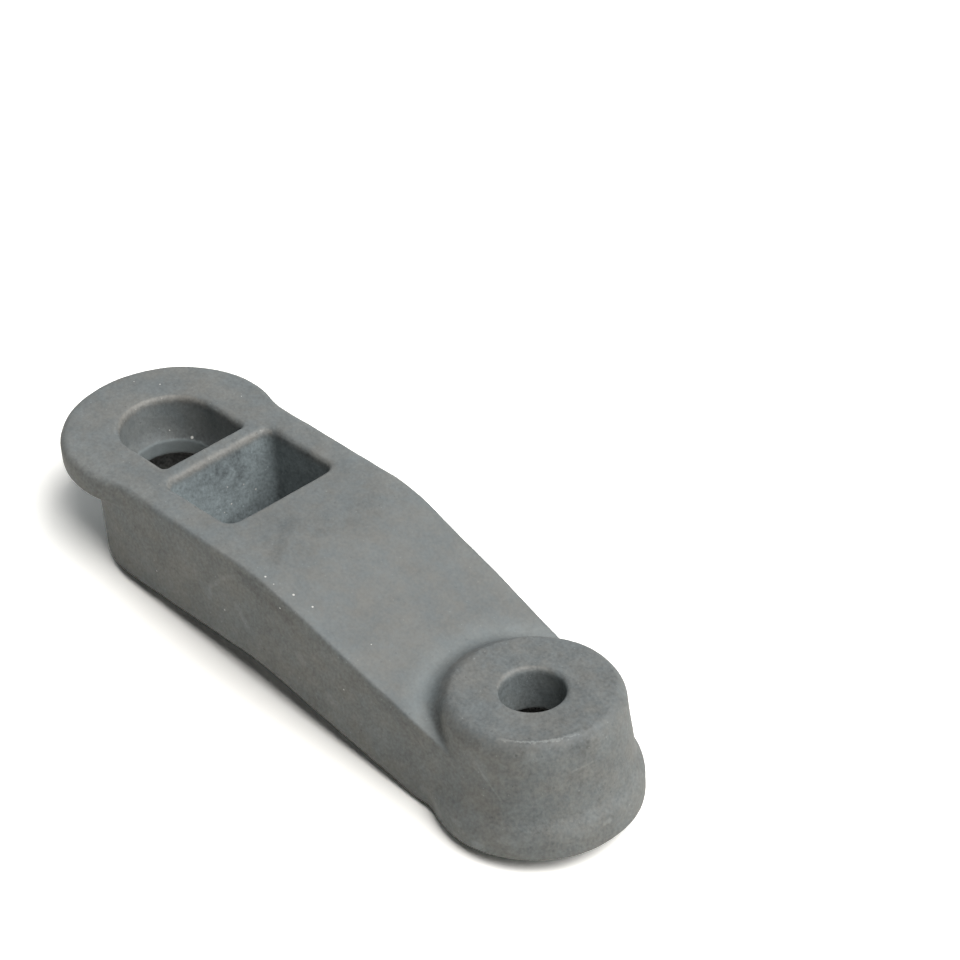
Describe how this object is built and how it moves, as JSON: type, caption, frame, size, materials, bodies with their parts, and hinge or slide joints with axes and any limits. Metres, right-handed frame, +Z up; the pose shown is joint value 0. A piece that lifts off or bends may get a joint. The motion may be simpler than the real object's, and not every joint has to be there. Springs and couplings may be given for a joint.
{
  "type": "roof anchor",
  "caption": "Cast iron roof anchor: a round flange with a D-shaped bolt pocket, a bent arm with a square pocket, and a round drilled boss on a hollow foot.",
  "frame": {"origin": "middle of the length and width, level with the bottom face of the foot", "axes": "+X from the flange to the boss, +Y across the arm, +Z up out of the boss and flange faces"},
  "size_m": [0.0986, 0.0296, 0.0224],
  "materials": {
    "cast_iron": "matte grey cast iron, shot-blasted, with bare edges"
  },
  "bodies": {
    "root": {"anchor_casting": "cast_iron"}
  },
  "joints": []
}
